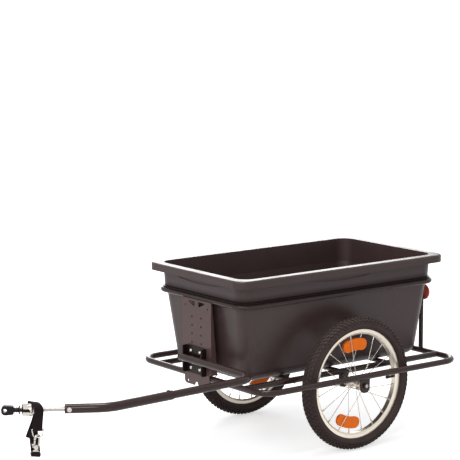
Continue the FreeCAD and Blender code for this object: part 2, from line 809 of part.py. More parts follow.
def hook_frame():
    """The hook's own frame, turned on the stem so that its loop stands across the ring's wire."""
    return stem_frame().multiply(Placement(Vector(0, 0, 0), Rotation(Vector(0, 0, 1), hook_twist)))


def upright(stations):
    """A turned piece about the hook's stem."""
    return turned(stations, Vector(0, 0, 0), Vector(0, 0, 1))


def stem_stations(gap):
    """The swivel's stem and its button head, with a running gap for the bore round it."""
    return [(13.2 - 2 * gap, 0), (13.2 - 2 * gap, 1.8 + gap), (18.2 - gap, 1.8 + gap),
            (18.2 - gap, 2.9 + gap), (19.8 + gap, 2.9 + gap), (19.8 + gap, 0)]


def make_snap_hook():
    """A wire loop, open on one side, on a socket that turns on the swivel's stem."""
    top = 55.8
    side = hook_loop
    nose = [Vector(side, 0, top - 13), Vector(side, 0, top), Vector(-side, 0, top), Vector(-side, 0, 24),
            Vector(0.5, 0, 24)]
    wire = round_bar(rounded_path(nose, [0, side - 0.1, side - 0.1, 5.0, 0]), hook_wire)
    socket = upright([(14.0, 0), (14.0, 3.8), (15.2, 5.2), (22.0, 5.2), (24.5, 4.6), (27.5, 1.5), (27.5, 0)])
    cheek = Part.makeBox(10.4, 6.6, 7.0, Vector(0.8, -3.3, 21.6))
    hook = fused([wire, socket, cheek]).cut(upright(stem_stations(running_gap)))
    hook = hook.cut(Part.makeBox(13, 3.4, 14, Vector(4.4, -1.7, 22.6)))
    return one_solid(hook.cut(gate_pin()))


def gate_pin():
    return rod(Vector(8.0, -3.3, 26.0), Vector(8.0, 3.3, 26.0), 0.9)


def make_hook_gate():
    """The sprung gate with its thumb tab, which swings into the loop."""
    corners = [(6.0, 24.2), (10.0, 24.2), (10.4, 28.0), (16.4, 30.5), (15.2, 33.8), (9.2, 33.2),
               (8.9, 40.8), (5.8, 40.8)]
    outline = [Vector(x, -1.5, z) for x, z in corners]
    gate = flat_piece(outline, [1.4, 1.4, 0.8, 1.3, 1.3, 0.8, 0.6, 0.6], Vector(0, 3.0, 0))
    return one_solid(gate.cut(rod(Vector(8.0, -4, 26.0), Vector(8.0, 4, 26.0), 0.95)))


def make_swivel_eye():
    """The eye that the strap folds round, with the stem that the hook turns on."""
    corners = [(-15.4, -1.6), (15.4, -1.6), (15.4, 2.2), (5.6, 12.6), (-5.6, 12.6), (-15.4, 2.2)]
    outline = [Vector(x, -1.4, z) for x, z in corners]
    plate = flat_piece(outline, [1.8, 1.8, 1.6, 2.4, 2.4, 1.6], Vector(0, 2.8, 0))
    stem = upright(stem_stations(0.0))
    return fused([plate, stem, upright([(10.2, 0), (10.2, 3.6), (13.7, 3.6), (13.7, 0)])])


# Wheels


def wheel_centre(side):
    return Vector(0, side * wheel_side, tyre_radius)


def across_axle(points):
    return [Part.makeLine(Vector(a[0], a[1], 0), Vector(b[0], b[1], 0)) for a, b in zip(points, points[1:])]


def arc(start, middle, end):
    return Part.Arc(*[Vector(along_axle, radius, 0) for along_axle, radius in (start, middle, end)]).toShape()


def make_tyre(side):
    """The casing: a round crown, sidewalls and two beads that sit inside the rim's lips."""
    half = tyre_width / 2
    crown = tyre_radius - half
    inner = half - tyre_wall
    inner_top = tyre_radius - tyre_wall - 1.6
    bead = rim_half_section - 2.2
    bead_foot = rim_bed_radius + 3.4
    bead_toe = bead - 4.6
    lip = rim_lip_radius + 0.5
    wall_round = crown - lip
    wall_foot = half - wall_round
    middle = wall_round * math.sqrt(0.5)
    edges = [arc((-half, crown), (0, tyre_radius), (half, crown)),
             arc((half, crown), (wall_foot + middle, crown - middle), (wall_foot, lip))]
    edges += across_axle([(wall_foot, lip), (bead, lip), (bead, bead_foot), (bead_toe, bead_foot)])
    edges += [arc((bead_toe, bead_foot), (bead - 2.6, lip), (inner, crown + 0.6)),
              arc((inner, crown + 0.6), (0, inner_top), (-inner, crown + 0.6)),
              arc((-inner, crown + 0.6), (2.6 - bead, lip), (-bead_toe, bead_foot))]
    edges += across_axle([(-bead_toe, bead_foot), (-bead, bead_foot), (-bead, lip), (-wall_foot, lip)])
    edges.append(arc((-wall_foot, lip), (-wall_foot - middle, crown - middle), (-half, crown)))
    return ring_of(edges, wheel_centre(side), Vector(0, 1, 0))


def make_rim(side):
    """A single-wall alloy rim with hooked lips, drilled for the spokes and the valve."""
    half = rim_half_section
    outline = [(-half, rim_lip_radius), (-half + 2.1, rim_lip_radius), (-half + 2.1, rim_bed_radius + 3.2),
               (-half + 6.5, rim_bed_radius + 2.6), (-half + 7.5, rim_bed_radius),
               (half - 7.5, rim_bed_radius), (half - 6.5, rim_bed_radius + 2.6),
               (half - 2.1, rim_bed_radius + 3.2), (half - 2.1, rim_lip_radius),
               (half, rim_lip_radius), (half, rim_bed_radius + 2), (half - 4, rim_inner_radius),
               (4 - half, rim_inner_radius), (-half, rim_bed_radius + 2), (-half, rim_lip_radius)]
    rim = ring_of(across_axle(outline), wheel_centre(side), Vector(0, 1, 0))
    for start, end in spoke_lines(side):
        way = (end - start).normalize()
        rim = rim.cut(rod(end - way * 6, end + way * 8, nipple_radius + 0.02))
    return one_solid(rim.cut(valve_line(side, 4.1)))


def polar(centre, radius, angle, y):
    """A point round the axle, where 0 degrees is forward and 90 is up."""
    turn = math.radians(angle)
    return centre + Vector(radius * math.cos(turn), y, radius * math.sin(turn))


def spoke_lines(side):
    """Start in the hub flange and end in the rim, for each of the crossed spokes."""
    centre = wheel_centre(side)
    lines = []
    step = 360.0 / spoke_count
    for k in range(spoke_count):
        flange = 1 if k % 2 == 0 else -1
        leading = 1 if (k // 2) % 2 == 0 else -1
        rim_angle = k * step + step / 2
        hub_angle = rim_angle - leading * spoke_turn
        start = polar(centre, spoke_circle, hub_angle, flange * (flange_offset + leading * spoke_stand))
        end = polar(centre, rim_inner_radius + 2.0, rim_angle, flange * 1.5)
        lines.append((start, end))
    return lines


def make_spokes(side):
    """Each spoke runs from its bent head, through the flange, to the nipple."""
    spokes = []
    centre_y = wheel_centre(side).y
    for start, end in spoke_lines(side):
        way = (end - start).normalize()
        middle = centre_y + (1 if start.y > centre_y else -1) * flange_offset
        outward = 1 if start.y > middle else -1
        run = rod(start, end - way * (nipple_length - 6), spoke_radius)
        bend = rod(start, Vector(start.x, middle - outward * 2.2, start.z), spoke_radius)
        elbow = Part.makeSphere(spoke_radius, start)
        head_foot = Vector(start.x, middle - outward * (flange_half + 0.1), start.z)
        head = rod(head_foot, Vector(start.x, middle - outward * (flange_half + 1.4), start.z), 1.9)
        spokes.append(fused([run, elbow, bend, head]))
    return fused_group(spokes)


def make_nipples(side):
    nipples = []
    for start, end in spoke_lines(side):
        way = (end - start).normalize()
        spoke = rod(start, end - way * (nipple_length - 6), spoke_radius)
        nipples.append(rod(end - way * nipple_length, end + way * 2, nipple_radius).cut(spoke))
    return fused_group(nipples)


def make_hub_shell(side):
    """A barrel with two drilled flanges and a seat for a bearing at each end."""
    inner_face = flange_offset - flange_half
    outer_face = flange_offset + flange_half
    half = [(0, 7.5), (19, 7.5), (19, 11.0), (30, 11.0), (30, 12.2), (29.4, 12.8), (outer_face, 12.8),
            (outer_face, flange_rim), (inner_face, flange_rim), (inner_face, 12.6), (12, 11.6), (0, 11.0)]
    outline = half + [(-x, r) for x, r in reversed(half[1:-1])]
    hub = turned(outline, wheel_centre(side), Vector(0, 1, 0))
    for start, end in spoke_lines(side):
        flange = 1 if (start - wheel_centre(side)).y > 0 else -1
        centre_y = wheel_centre(side).y + flange * flange_offset
        hole = rod(Vector(start.x, centre_y - 4, start.z), Vector(start.x, centre_y + 4, start.z), 1.25)
        hub = hub.cut(hole)
    return one_solid(hub)


def make_bearings(side):
    centre = wheel_centre(side)
    rings = []
    for end in (-1, 1):
        near = centre + Vector(0, end * 20.5, 0)
        far = centre + Vector(0, end * 28.5, 0)
        rings.append(pipe(near, far, 11.0, axle_radius + running_gap))
    return fused_group(rings)


def make_axle(side):
    inner = rail_side - dropout_thickness / 2 - nut_height - 2
    outer = loop_side + dropout_thickness / 2 + nut_height + 0.8
    return rod(Vector(0, side * inner, tyre_radius), Vector(0, side * outer, tyre_radius), axle_radius)


def make_axle_nuts(side, axle):
    nuts = []
    faces = [(rail_side - dropout_thickness / 2, -1), (loop_side + dropout_thickness / 2, 1)]
    for y, way in faces:
        base = Vector(0, side * y, tyre_radius)
        nuts.append(hexagon(base, Vector(0, side * way, 0), 15.0, nut_height).cut(axle))
    return fused_group(nuts)


def make_spacers(side, axle):
    """The cones that hold the bearings between the two dropouts."""
    centre = wheel_centre(side)
    half_plate = dropout_thickness / 2
    reaches = {1: loop_side - half_plate - wheel_side, -1: wheel_side - rail_side - half_plate}
    spacers = []
    for outward, reach in reaches.items():
        stations = [(28.6, 0), (28.6, 7.5), (31.0, 8.6), (reach - 5, 8.6), (reach - 3, 10.5), (reach, 10.5),
                    (reach, 0)]
        cone = turned(stations, centre, Vector(0, side * outward, 0))
        spacers.append(cone.cut(axle))
    return fused_group(spacers)


def valve_line(side, radius):
    """The valve's place, midway between two spokes."""
    centre = wheel_centre(side)
    return rod(polar(centre, 118, 180, 0), polar(centre, 156, 180, 0), radius)


def make_valve(side):
    centre = wheel_centre(side)
    start = polar(centre, 156, 180, 0)
    way = Vector(1, 0, 0)
    stations = [(0, 0), (0, 4.8), (1.6, 4.8), (2.0, 4.0), (26, 4.0), (26.5, 4.6), (36, 4.6), (37.5, 3.6),
                (37.5, 0)]
    return turned(stations, start, way)


def make_spoke_reflectors(side, name):
    """Two kidney-shaped reflectors that follow the wheel's circle, notched where spokes pass."""
    centre = wheel_centre(side)
    spokes = [rod(start, end, spoke_radius + 0.15) for start, end in spoke_lines(side)]
    inner = reflector_circle - reflector_end
    outer = reflector_circle + reflector_end
    thickness = Vector(0, 7.2, 0)
    pieces = []
    for angle in reflector_angles[name]:
        first, last = angle - reflector_spread, angle + reflector_spread
        ends = [polar(centre, reflector_circle, turn, -3.6) for turn in (first, last)]
        parts = [rod(end, end + thickness, reflector_end) for end in ends]
        corners = [[polar(centre, radius, turn, -3.6) for turn in (first, angle, last)]
                   for radius in (inner, outer)]
        edges = [Part.Arc(*corners[0]).toShape(), Part.makeLine(corners[0][2], corners[1][2]),
                 Part.Arc(*corners[1]).toShape(), Part.makeLine(corners[1][0], corners[0][0])]
        parts.append(Part.Face(Part.Wire(Part.__sortEdges__(edges))).extrude(thickness))
        piece = fused(parts)
        for spoke in spokes:
            piece = piece.cut(spoke)
        pieces.append(max(piece.Solids, key=lambda solid: solid.Volume))
    return fused_group(pieces)


# Assembly


def frame_nodes():
    loop = loop_bar()
    ring = ring_bar()
    nodes = {"tub": make_tub(), "lower_loop": make_lower_loop(), "upper_ring": make_upper_ring()}
    rails = {}
    for side, sign in (("left", 1), ("right", -1)):
        y = sign * rail_side
        rails[side] = rod(Vector(loop_rear, y, loop_z), Vector(loop_front, y, loop_z), rail_tube)
        nodes["dropout_inner_" + side] = make_dropout(sign, rail_side, rails[side])
    blockers = [*rails.values(), nodes["dropout_inner_left"], nodes["dropout_inner_right"]]
    nodes["cross_tubes"] = fused_group([make_cross_tube(x, blockers) for x in cross_places])
    for side, sign in (("left", 1), ("right", -1)):
        nodes["inner_rail_" + side] = make_inner_rail(sign)
        post = make_rear_post(sign, loop, ring)
        nodes["rear_post_" + side] = post.cut(make_reflector_screw(sign, post))
        nodes["dropout_outer_" + side] = make_dropout(sign, loop_side, loop)
    nodes["front_plate"] = make_front_plate(loop, ring)
    signs = (1, -1)
    feet = [Vector(post_x, s * post_side, loop_z) for s in signs]
    posts = [rod(foot, Vector(foot.x, foot.y, ring_z), post_tube) for foot in feet]
    nodes["rear_reflectors"] = fused_group([make_rear_reflector(s) for s in signs])
    nodes["reflector_screws"] = fused_group([make_reflector_screw(s, p) for s, p in zip(signs, posts)])
    nodes["rail_pins"] = fused_group([make_rail_pin(s) for s in signs])
    return nodes


def drawbar_nodes():
    bar = drawbar_frame()
    axis = placed(rod(Vector(0, -80, 0), Vector(0, 80, 0), rear_tube), bar)
    nodes = {"drawbar_bracket": make_bracket(axis)}
    nodes["bracket_bolts"] = fused_group([make_bracket_bolt(y, z) for y, z in bracket_bolts()])
    nodes["bracket_nuts"] = fused_group([make_bracket_nut(y, z) for y, z in bracket_bolts()])
    for name, make in (("drawbar_rear_tube", make_rear_tube), ("drawbar_front_tube", make_front_tube),
                       ("length_screw", make_length_screw), ("length_nut", make_length_nut),
                       ("leg_end_plug", make_leg_plug)):
        nodes[name] = placed(make(), bar)
    return nodes


def hitch_nodes():
    hitch = hitch_frame()
    makers = {
        "drawbar_end_bush": make_end_bush, "hitch_shaft": make_hitch_shaft, "shaft_clip": make_shaft_clip,
        "cross_bolt": make_cross_bolt, "cross_nut": make_cross_nut, "coupling_housing": make_housing,
        "pivot_pin": make_pivot_pin, "tow_eye": make_tow_eye, "safety_strap": make_strap,
        "strap_ring": make_strap_ring,
    }
    nodes = {name: placed(make(), hitch) for name, make in makers.items()}
    hook = hitch.multiply(hook_frame())
    for name, make in (("snap_hook", make_snap_hook), ("hook_gate", make_hook_gate), ("gate_pin", gate_pin)):
        nodes[name] = placed(make(), hook)
    nodes["swivel_eye"] = placed(make_swivel_eye(), hitch.multiply(stem_frame()))
    return nodes


def wheel_nodes():
    nodes = {}
    for side, sign in (("left", 1), ("right", -1)):
        axle = make_axle(sign)
        nodes[side + "_tyre"] = make_tyre(sign)
        nodes[side + "_rim"] = make_rim(sign)
        nodes[side + "_valve"] = make_valve(sign)
        nodes[side + "_hub_shell"] = make_hub_shell(sign)
        nodes[side + "_bearings"] = make_bearings(sign)
        nodes[side + "_spokes"] = make_spokes(sign)
        nodes[side + "_nipples"] = make_nipples(sign)
        nodes[side + "_wheel_reflectors"] = make_spoke_reflectors(sign, side)
        nodes[side + "_axle"] = axle
        nodes[side + "_axle_nuts"] = make_axle_nuts(sign, axle)
        nodes[side + "_axle_cones"] = make_spacers(sign, axle)
    return nodes


def main():
    os.makedirs("parts", exist_ok=True)
    nodes = {**frame_nodes(), **drawbar_nodes(), **hitch_nodes(), **wheel_nodes()}
    boxes = [shape.optimalBoundingBox(False, False) for shape in nodes.values()]
    for name, shape in nodes.items():
        shape.translate(Vector(-middle_ahead_of_axle, 0, 0))
        shape.exportStep("parts/" + name + ".step")
        solids = len(shape.Solids)
        print(name, "solids", solids, "valid", shape.isValid(), "volume cm3", round(shape.Volume / 1000, 1))
    print("nodes", len(nodes))
    low_x = min(box.XMin for box in boxes)
    high_x = max(box.XMax for box in boxes)
    print("length", round(low_x, 3), round(high_x, 3), "middle", round((low_x + high_x) / 2, 3))
    print("width", round(min(b.YMin for b in boxes), 3), round(max(b.YMax for b in boxes), 3))
    print("height", round(min(b.ZMin for b in boxes), 3), round(max(b.ZMax for b in boxes), 3))


main()
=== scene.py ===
import json
import math

import bpy
import bmesh
from mathutils import Matrix, Vector

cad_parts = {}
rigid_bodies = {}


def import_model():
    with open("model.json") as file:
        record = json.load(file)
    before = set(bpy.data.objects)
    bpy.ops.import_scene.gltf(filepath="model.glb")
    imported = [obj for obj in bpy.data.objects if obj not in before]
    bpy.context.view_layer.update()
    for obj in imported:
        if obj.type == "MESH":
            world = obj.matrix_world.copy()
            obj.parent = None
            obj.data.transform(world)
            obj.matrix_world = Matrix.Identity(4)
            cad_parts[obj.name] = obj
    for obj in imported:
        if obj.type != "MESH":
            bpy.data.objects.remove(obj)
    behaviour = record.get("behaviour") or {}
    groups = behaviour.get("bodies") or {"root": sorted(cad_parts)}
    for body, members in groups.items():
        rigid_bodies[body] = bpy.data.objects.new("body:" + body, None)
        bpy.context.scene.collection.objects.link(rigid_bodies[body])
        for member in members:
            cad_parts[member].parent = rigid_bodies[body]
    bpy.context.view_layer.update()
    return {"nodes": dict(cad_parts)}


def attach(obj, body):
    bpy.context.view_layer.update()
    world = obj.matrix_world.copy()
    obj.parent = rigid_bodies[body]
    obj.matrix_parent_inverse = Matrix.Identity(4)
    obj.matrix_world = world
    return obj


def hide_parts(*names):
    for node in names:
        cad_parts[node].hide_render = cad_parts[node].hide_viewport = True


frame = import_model()
mm = 0.001


# Places on the trailer in millimetres, with x measured from the axle

trailer = {"axleBehindMiddle": 361.373, "axleHeight": 196.0, "wheelSide": 263.0}
drawbar = {"x": 397.5, "z": 274.5, "tipDown": 0.95, "legSide": 298.0, "kneeAt": 483.0, "kneeTurn": 35.0,
           "hitchFromKnee": 8.0}


def fromAxle(x, y, z):
    return Vector((x - trailer["axleBehindMiddle"], y, z)) * mm


def drawbarFrame():
    spot = Matrix.Translation(fromAxle(drawbar["x"], 0, drawbar["z"]))
    return spot @ Matrix.Rotation(math.radians(drawbar["tipDown"]), 4, "Y")


def hitchFrame():
    knee = Matrix.Translation(Vector((drawbar["kneeAt"], drawbar["legSide"], 0)) * mm)
    onLeg = Matrix.Translation(Vector((drawbar["hitchFromKnee"], 0, 0)) * mm)
    return drawbarFrame() @ knee @ Matrix.Rotation(math.radians(-drawbar["kneeTurn"]), 4, "Z") @ onLeg


# Mesh helpers


def newObject(name, data):
    piece = bpy.data.objects.new(name, data)
    bpy.context.collection.objects.link(piece)
    return piece


def newPiece(name, verts, faces, body, material):
    mesh = bpy.data.meshes.new(name)
    mesh.from_pydata([tuple(v) for v in verts], [], faces)
    mesh.validate()
    mesh.update()
    piece = newObject(name, mesh)
    mesh.shade_smooth()
    mesh.materials.append(material)
    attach(piece, body)
    return piece


def loftRings(rings, closed=False):
    # rings of equal length, joined into a skin with a cap at each end unless it closes on itself
    count = len(rings[0])
    verts = [p for ring in rings for p in ring]
    faces = []
    last = len(rings) if closed else len(rings) - 1
    for i in range(last):
        a = i * count
        b = ((i + 1) % len(rings)) * count
        for k in range(count):
            n = (k + 1) % count
            faces.append((a + k, a + n, b + n, b + k))
    if not closed:
        faces.append(tuple(reversed(range(count))))
        faces.append(tuple(range((len(rings) - 1) * count, len(rings) * count)))
    return verts, faces


def fixNormals(piece):
    work = bmesh.new()
    work.from_mesh(piece.data)
    bmesh.ops.recalc_face_normals(work, faces=work.faces)
    work.to_mesh(piece.data)
    work.free()


def smoothRows(rows, steps):
    # Catmull-Rom through rows of numbers
    out = []
    last = len(rows) - 1
    for i in range(last):
        p0, p1, p2, p3 = (rows[max(0, min(last, i + d))] for d in (-1, 0, 1, 2))
        for k in range(steps):
            t = k / steps
            row = []
            for a, b, c, d in zip(p0, p1, p2, p3):
                row.append(0.5 * (2 * b + (c - a) * t + (2 * a - 5 * b + 4 * c - d) * t ** 2
                                  + (3 * b - a - 3 * c + d) * t ** 3))
            out.append(tuple(row))
    out.append(tuple(rows[-1]))
    return out


# Shader helpers


def newGroup(name, inputs, outputs):
    group = bpy.data.node_groups.new(name, "ShaderNodeTree")
    for label, kind, value in inputs:
        socket = group.interface.new_socket(name=label, in_out="INPUT", socket_type=kind)
        socket.default_value = value
    for label, kind in outputs:
        group.interface.new_socket(name=label, in_out="OUTPUT", socket_type=kind)
    return group, group.nodes.new("NodeGroupInput"), group.nodes.new("NodeGroupOutput")


def newMaterial(name):
    material = bpy.data.materials.new(name)
    material.use_nodes = True
    return material, material.node_tree, material.node_tree.nodes["Principled BSDF"]


def addNode(tree, kind, **values):
    node = tree.nodes.new(kind)
    for key, value in values.items():
        setattr(node, key, value)
    return node


def feed(tree, node, values):
    # each named input gets a fixed value or another node's output
    for label, value in values.items():
        if isinstance(value, bpy.types.NodeSocket):
            tree.links.new(value, node.inputs[label])
        else:
            node.inputs[label].default_value = value


def addGroup(tree, group, values):
    node = addNode(tree, "ShaderNodeGroup", node_tree=group)
    feed(tree, node, values)
    return node.outputs


def mathNode(tree, operation, a, b=None, c=None, clamp=False):
    node = addNode(tree, "ShaderNodeMath", operation=operation, use_clamp=clamp)
    feed(tree, node, {index: value for index, value in enumerate((a, b, c)) if value is not None})
    return node.outputs[0]


def noiseNode(tree, scale, detail=3.0, roughness=0.5):
    # noise that rides with the piece
    node = addNode(tree, "ShaderNodeTexNoise")
    place = addNode(tree, "ShaderNodeTexCoord").outputs["Object"]
    feed(tree, node, {"Scale": scale, "Detail": detail, "Roughness": roughness, "Vector": place})
    return node.outputs["Fac"]


def bumpNode(tree, height, strength, distance):
    node = addNode(tree, "ShaderNodeBump")
    feed(tree, node, {"Height": height, "Strength": strength, "Distance": distance})
    return node.outputs["Normal"]


def mixColor(tree, factor, a, b):
    node = addNode(tree, "ShaderNodeMix", data_type="RGBA")
    first, second = ((*value, 1.0) if isinstance(value, tuple) else value for value in (a, b))
    feed(tree, node, {0: factor, 6: first, 7: second})
    return node.outputs[2]


# Shared effects, each a node group


def makeUnevenGroup():
    # a colour and a gloss that drift slowly over a surface
    group, given, put = newGroup(
        "unevenSurface",
        [("Color", "NodeSocketColor", (0.1, 0.1, 0.1, 1)), ("Color Drift", "NodeSocketFloat", 0.15),
         ("Roughness", "NodeSocketFloat", 0.4), ("Roughness Drift", "NodeSocketFloat", 0.1),
         ("Patch Scale", "NodeSocketFloat", 14.0)],
        [("Color", "NodeSocketColor"), ("Roughness", "NodeSocketFloat")])
    scale = given.outputs["Patch Scale"]
    broad = mathNode(group, "SUBTRACT", noiseNode(group, scale, detail=4.0, roughness=0.55), 0.5)
    colorSwing = mathNode(group, "MULTIPLY", broad, given.outputs["Color Drift"])
    lift = mathNode(group, "MULTIPLY_ADD", colorSwing, 2.0, 1.0)
    scaled = addNode(group, "ShaderNodeVectorMath", operation="SCALE")
    feed(group, scaled, {0: given.outputs["Color"], "Scale": lift})
    fine = mathNode(group, "SUBTRACT", noiseNode(group, mathNode(group, "MULTIPLY", scale, 4.0)), 0.5)
    glossSwing = mathNode(group, "MULTIPLY", fine, given.outputs["Roughness Drift"])
    rough = mathNode(group, "MULTIPLY_ADD", glossSwing, 2.0, given.outputs["Roughness"])
    feed(group, put, {"Color": scaled.outputs[0], "Roughness": rough})
    return group


def makeGrainGroup():
    # fine moulded or sprayed grain and slow waves, as a normal
    group, given, put = newGroup(
        "fineGrain",
        [("Grain Scale", "NodeSocketFloat", 900.0), ("Grain Depth", "NodeSocketFloat", 0.1),
         ("Wave Scale", "NodeSocketFloat", 9.0), ("Wave Depth", "NodeSocketFloat", 0.0)],
        [("Normal", "NodeSocketVector")])
    heights = []
    for kind, detail in (("Grain", 2.0), ("Wave", 1.0)):
        noise = noiseNode(group, given.outputs[kind + " Scale"], detail)
        heights.append(mathNode(group, "MULTIPLY", noise, given.outputs[kind + " Depth"]))
    height = mathNode(group, "ADD", *heights)
    feed(group, put, {"Normal": bumpNode(group, height, strength=1.0, distance=mm)})
    return group


def makeDustGroup():
    # a pale bloom that settles most on faces that look up, as a mask
    group, given, put = newGroup(
        "settledDust",
        [("Amount", "NodeSocketFloat", 0.2), ("Patch Scale", "NodeSocketFloat", 22.0)],
        [("Mask", "NodeSocketFloat")])
    split = addNode(group, "ShaderNodeSeparateXYZ")
    feed(group, split, {0: addNode(group, "ShaderNodeNewGeometry").outputs["Normal"]})
    onTop, onSides = 0.6, 0.4
    upward = mathNode(group, "MULTIPLY_ADD", split.outputs["Z"], onTop, onSides, clamp=True)
    patches = noiseNode(group, given.outputs["Patch Scale"], detail=5.0, roughness=0.6)
    settled = mathNode(group, "MULTIPLY", upward, patches)
    mask = mathNode(group, "MULTIPLY", settled, given.outputs["Amount"], clamp=True)
    feed(group, put, {"Mask": mask})
    return group


def makeGrooveGroup():
    # painted shade on the foot of a wall's outside, just above a middle point's height, fading upward, as a
    # mask
    group, given, put = newGroup(
        "paintedGrooveShade",
        [("Middle", "NodeSocketVector", (0, 0, 0)), ("Reach", "NodeSocketFloat", 0.01),
         ("Amount", "NodeSocketFloat", 0.5)],
        [("Mask", "NodeSocketFloat")])
    fromMiddle = addNode(group, "ShaderNodeVectorMath", operation="SUBTRACT")
    place = addNode(group, "ShaderNodeTexCoord").outputs["Object"]
    feed(group, fromMiddle, {0: place, 1: given.outputs["Middle"]})
    split = addNode(group, "ShaderNodeSeparateXYZ")
    feed(group, split, {0: fromMiddle.outputs[0]})
    share = mathNode(group, "DIVIDE", split.outputs["Z"], given.outputs["Reach"])
    fade = mathNode(group, "SUBTRACT", 1.0, share, clamp=True)
    above = mathNode(group, "GREATER_THAN", split.outputs["Z"], 0.0)
    facing = addNode(group, "ShaderNodeVectorMath", operation="DOT_PRODUCT")
    normal = addNode(group, "ShaderNodeNewGeometry").outputs["Normal"]
    feed(group, facing, {0: fromMiddle.outputs[0], 1: normal})
    outside = mathNode(group, "GREATER_THAN", facing.outputs["Value"], 0.0)
    strip = mathNode(group, "MULTIPLY", mathNode(group, "MULTIPLY", fade, above), outside)
    feed(group, put, {"Mask": mathNode(group, "MULTIPLY", strip, given.outputs["Amount"])})
    return group


unevenSurface = makeUnevenGroup()
fineGrain = makeGrainGroup()
settledDust = makeDustGroup()
paintedGrooveShade = makeGrooveGroup()
print("stage: node groups")


# Finishes


def sRgb(red, green, blue):
    # a screen colour as the linear numbers that a shader takes
    out = []
    for value in (red, green, blue):
        share = value / 255
        out.append(share / 12.92 if share <= 0.04045 else ((share + 0.055) / 1.055) ** 2.4)
    return tuple(out)


finishes = {  # grain and wave are scale and depth; groove is middle, reach and amount
    "tubPlastic": {"color": sRgb(58, 42, 42), "drift": 0.10, "rough": 0.34, "roughDrift": 0.08,
                   "patch": 5.0, "grain": (1400.0, 0.08), "wave": (6.0, 0.5), "dust": 0.06, "level": 0.32,
                   # the tub's painted shade in the groove above the ring, darkest at its foot
                   "groove": ((-0.3574, 0.0, 0.4597), 0.022, 0.9)},
    "framePaint": {"color": sRgb(46, 30, 28), "drift": 0.12, "rough": 0.15, "roughDrift": 0.08,
                   "patch": 18.0, "grain": (900.0, 0.04), "wave": (60.0, 0.05), "dust": 0.05, "level": 0.25},
    # the bracket is the same black paint as the frame; its darker colour is painted shade from its channel
    "shadedBracketPaint": {"color": sRgb(26, 13, 14), "drift": 0.12, "rough": 0.34, "roughDrift": 0.08,
                     "patch": 18.0, "grain": (900.0, 0.04), "wave": (60.0, 0.05), "dust": 0.02,
                     "level": 0.15},
    "platePaint": {"color": sRgb(76, 56, 53), "drift": 0.12, "rough": 0.36, "roughDrift": 0.10,
                   "patch": 18.0, "grain": (900.0, 0.06), "wave": (60.0, 0.05), "dust": 0.06, "level": 0.30},
    "blackPlastic": {"color": sRgb(14, 6, 7), "drift": 0.15, "rough": 0.36, "roughDrift": 0.12,
                     "patch": 40.0, "grain": (1600.0, 0.10), "wave": (80.0, 0.05), "dust": 0.06,
                     "level": 0.16},
    "darkSteel": {"color": sRgb(62, 52, 50), "drift": 0.10, "rough": 0.28, "roughDrift": 0.12,
                  "patch": 60.0, "grain": (1500.0, 0.03), "wave": (90.0, 0.04), "dust": 0.05,
                  "level": 0.40, "metal": 0.6},
    "tyreRubber": {"color": sRgb(46, 32, 31), "drift": 0.25, "rough": 0.72, "roughDrift": 0.12,
                   "patch": 30.0, "grain": (1100.0, 0.30), "wave": (120.0, 0.10), "dust": 0.14,
                   "level": 0.25},
    "shaftSteel": {"color": sRgb(164, 159, 155), "drift": 0.08, "rough": 0.30, "roughDrift": 0.10,
                   "patch": 60.0, "grain": (900.0, 0.0), "wave": (60.0, 0.0), "dust": 0.04,
                   "level": 0.5, "metal": 1.0},
    "brightSteel": {"color": sRgb(190, 184, 178), "drift": 0.08, "rough": 0.22, "roughDrift": 0.12,
                    "patch": 60.0, "grain": (1500.0, 0.02), "wave": (90.0, 0.01), "dust": 0.04,
                    "level": 0.5, "metal": 1.0},
    "rimAlloy": {"color": sRgb(224, 215, 201), "drift": 0.05, "rough": 0.34, "roughDrift": 0.10,
                 "patch": 40.0, "grain": (1400.0, 0.03), "wave": (40.0, 0.04), "dust": 0.04,
                 "level": 0.5, "metal": 1.0},
}
dustColor = sRgb(168, 158, 150)
# the colour of the painted shade in the groove
grooveColor = sRgb(16, 8, 10)


def makeFinish(name):
    look = finishes[name]
    material, tree, shader = newMaterial(name)
    uneven = addGroup(tree, unevenSurface, {
        "Color": (*look["color"], 1), "Color Drift": look["drift"], "Roughness": look["rough"],
        "Roughness Drift": look["roughDrift"], "Patch Scale": look["patch"]})
    dust = addGroup(tree, settledDust, {"Amount": look["dust"]})
    color = mixColor(tree, dust["Mask"], uneven["Color"], dustColor)
    level = look["level"]
    # painted shade: darkens the colour and takes the gloss away in the groove
    if "groove" in look:
        groove = addGroup(tree, paintedGrooveShade, dict(zip(("Middle", "Reach", "Amount"), look["groove"])))
        color = mixColor(tree, groove["Mask"], color, grooveColor)
        level = mathNode(tree, "MULTIPLY", mathNode(tree, "SUBTRACT", 1.0, groove["Mask"]), level)
    grain = addGroup(tree, fineGrain, {
        "Grain Scale": look["grain"][0], "Grain Depth": look["grain"][1],
        "Wave Scale": look["wave"][0], "Wave Depth": look["wave"][1]})
    feed(tree, shader, {
        "Base Color": color, "Roughness": uneven["Roughness"], "Specular IOR Level": level,
        "Normal": grain["Normal"], "Metallic": look.get("metal", 0.0)})
    return material


# the red lens is lifted to pink: red plastic with a painted highlight on it
reflector = {"amber": sRgb(255, 110, 8), "red": sRgb(250, 108, 94), "cell": 330.0, "uneven": 0.15,
             "glintShare": 1.5, "prismShadeShare": 0.8, "prismShadeFrom": 0.7, "prism": (0.4, 0.6 * mm),
             "rough": 0.3, "level": 0.12, "coat": 0.08, "coatRough": 0.08}


